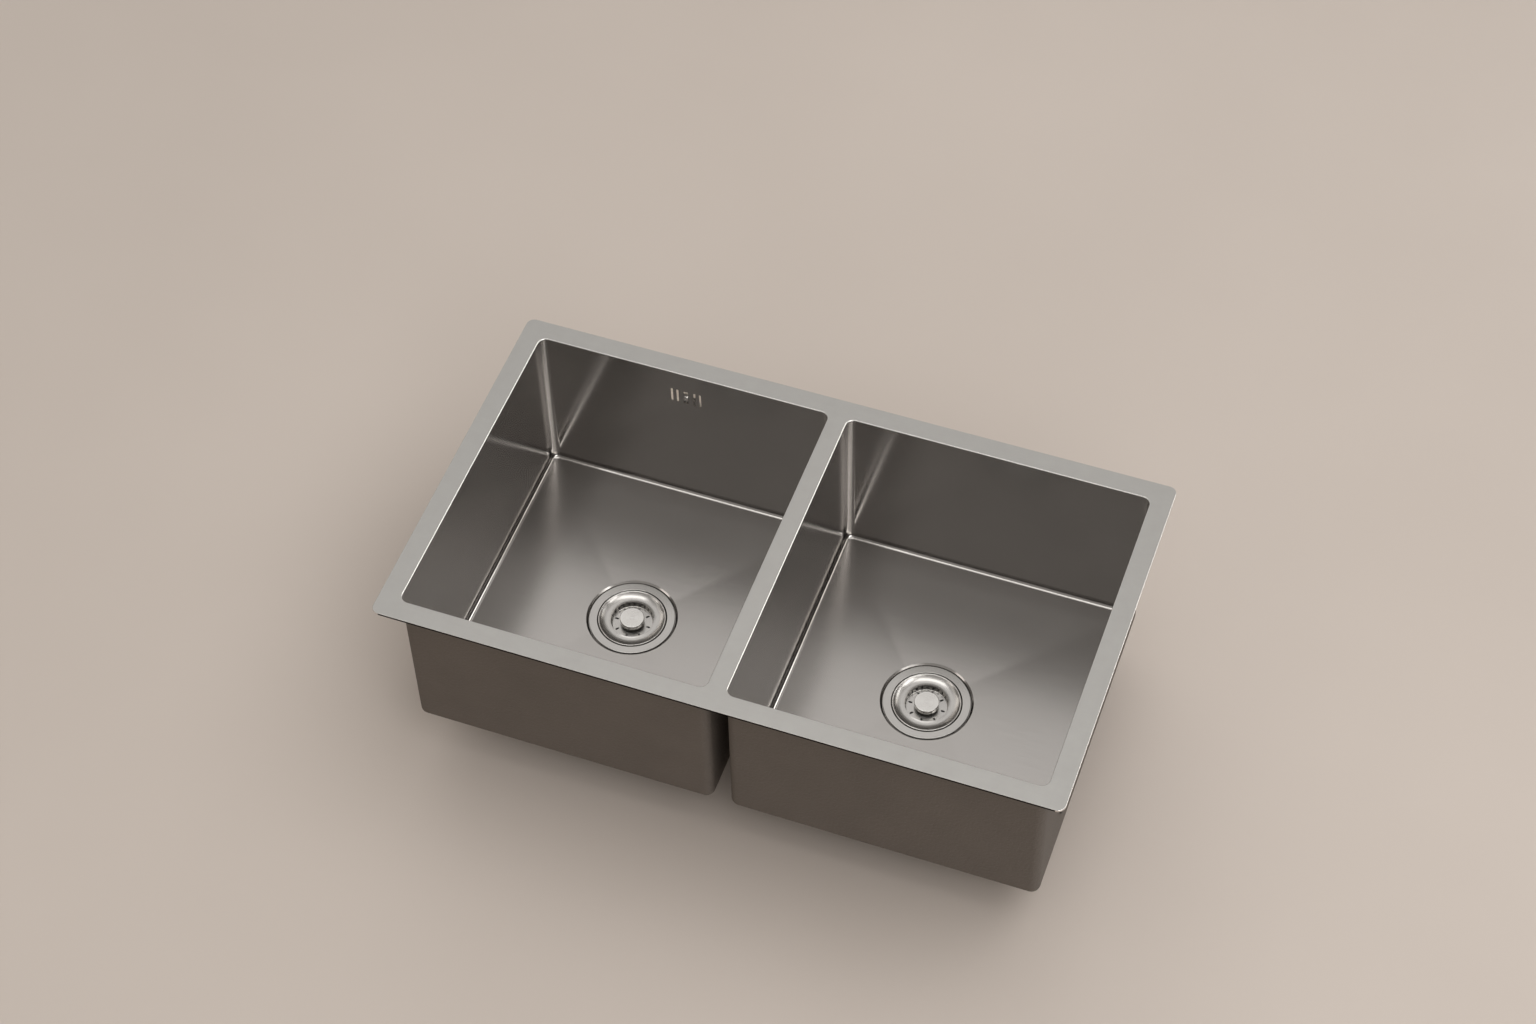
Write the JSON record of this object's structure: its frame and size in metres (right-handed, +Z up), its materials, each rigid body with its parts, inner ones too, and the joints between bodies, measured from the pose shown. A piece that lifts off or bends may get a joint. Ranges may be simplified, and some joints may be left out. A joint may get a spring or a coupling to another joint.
{
  "type": "double bowl kitchen sink",
  "caption": "Undermount kitchen sink with two equal square bowls in brushed steel, lift-out basket strainers and an overflow on one bowl.",
  "frame": {"origin": "centre of the rim's top face, in the middle of the divider", "axes": "+X to the bowl without overflow, +Y to the back wall with the overflow slots, +Z up out of the bowls"},
  "size_m": [0.838, 0.483, 0.3042],
  "materials": {
    "rim_steel": "satin, fine even grain",
    "bowl_steel": "brushed along the length on the floor, upright on the walls",
    "strainer_steel": "turned and brushed in circles",
    "basket_steel": "polished",
    "knob_steel": "turned, radial sheen",
    "fixing_steel": "plain bright",
    "seal_rubber": "matt",
    "pad_rubber": "matt, coated over with the bowl's undercoat",
    "washer_card": "pressed fibre",
    "nut_plastic": "moulded",
    "housing_plastic": "moulded",
    "hose_plastic": "blown, ribbed",
    "bush_plastic": "moulded"
  },
  "bodies": {
    "root": {"rim_plate": "rim_steel", "left_bowl": "bowl_steel", "right_bowl": "bowl_steel", "left_strainer_body": "strainer_steel", "left_flange_gasket": "seal_rubber", "left_under_gasket": "seal_rubber", "left_friction_washer": "washer_card", "left_locknut": "nut_plastic", "left_housing_seal": "seal_rubber", "left_drain_housing": "housing_plastic", "left_back_inner_pad": "pad_rubber", "left_back_outer_pad": "pad_rubber", "left_end_pad": "pad_rubber", "left_floor_front_pad": "pad_rubber", "left_floor_back_pad": "pad_rubber", "right_strainer_body": "strainer_steel", "right_flange_gasket": "seal_rubber", "right_under_gasket": "seal_rubber", "right_friction_washer": "washer_card", "right_locknut": "nut_plastic", "right_housing_seal": "seal_rubber", "right_drain_housing": "housing_plastic", "right_back_inner_pad": "pad_rubber", "right_back_outer_pad": "pad_rubber", "right_end_pad": "pad_rubber", "right_floor_front_pad": "pad_rubber", "right_floor_back_pad": "pad_rubber", "overflow_gasket": "seal_rubber", "overflow_housing": "housing_plastic", "overflow_screw": "fixing_steel", "overflow_hose": "hose_plastic", "top_hose_ring": "seal_rubber", "foot_hose_ring": "seal_rubber", "top_union_nut": "nut_plastic", "foot_union_nut": "nut_plastic"},
    "left_basket": {"left_basket_cup": "basket_steel", "left_guide_bush": "bush_plastic"},
    "left_stopper": {"left_stopper_seal": "seal_rubber", "left_seal_washer": "fixing_steel"},
    "left_knob": {"left_stopper_knob": "knob_steel", "left_stopper_post": "fixing_steel", "left_stopper_nut": "fixing_steel"},
    "right_basket": {"right_basket_cup": "basket_steel", "right_guide_bush": "bush_plastic"},
    "right_stopper": {"right_stopper_seal": "seal_rubber", "right_seal_washer": "fixing_steel"},
    "right_knob": {"right_stopper_knob": "knob_steel", "right_stopper_post": "fixing_steel", "right_stopper_nut": "fixing_steel"}
  },
  "joints": [
    {"name": "left_basket_lift", "type": "slide", "parent": "root", "child": "left_basket", "axis": [0, 0, 1], "range_m": [0, 0.3]},
    {"name": "left_stopper_pull", "type": "slide", "parent": "left_basket", "child": "left_stopper", "axis": [0, 0, 1], "range_m": [0, 0.008]},
    {"name": "left_knob_turn", "type": "hinge", "parent": "left_stopper", "child": "left_knob", "pos_m": [-0.201, 0.005, -0.2342], "axis": [0, 0, 1], "continuous": true},
    {"name": "right_basket_lift", "type": "slide", "parent": "root", "child": "right_basket", "axis": [0, 0, 1], "range_m": [0, 0.3]},
    {"name": "right_stopper_pull", "type": "slide", "parent": "right_basket", "child": "right_stopper", "axis": [0, 0, 1], "range_m": [0, 0.008]},
    {"name": "right_knob_turn", "type": "hinge", "parent": "right_stopper", "child": "right_knob", "pos_m": [0.187, 0.005, -0.2342], "axis": [0, 0, 1], "continuous": true}
  ]
}
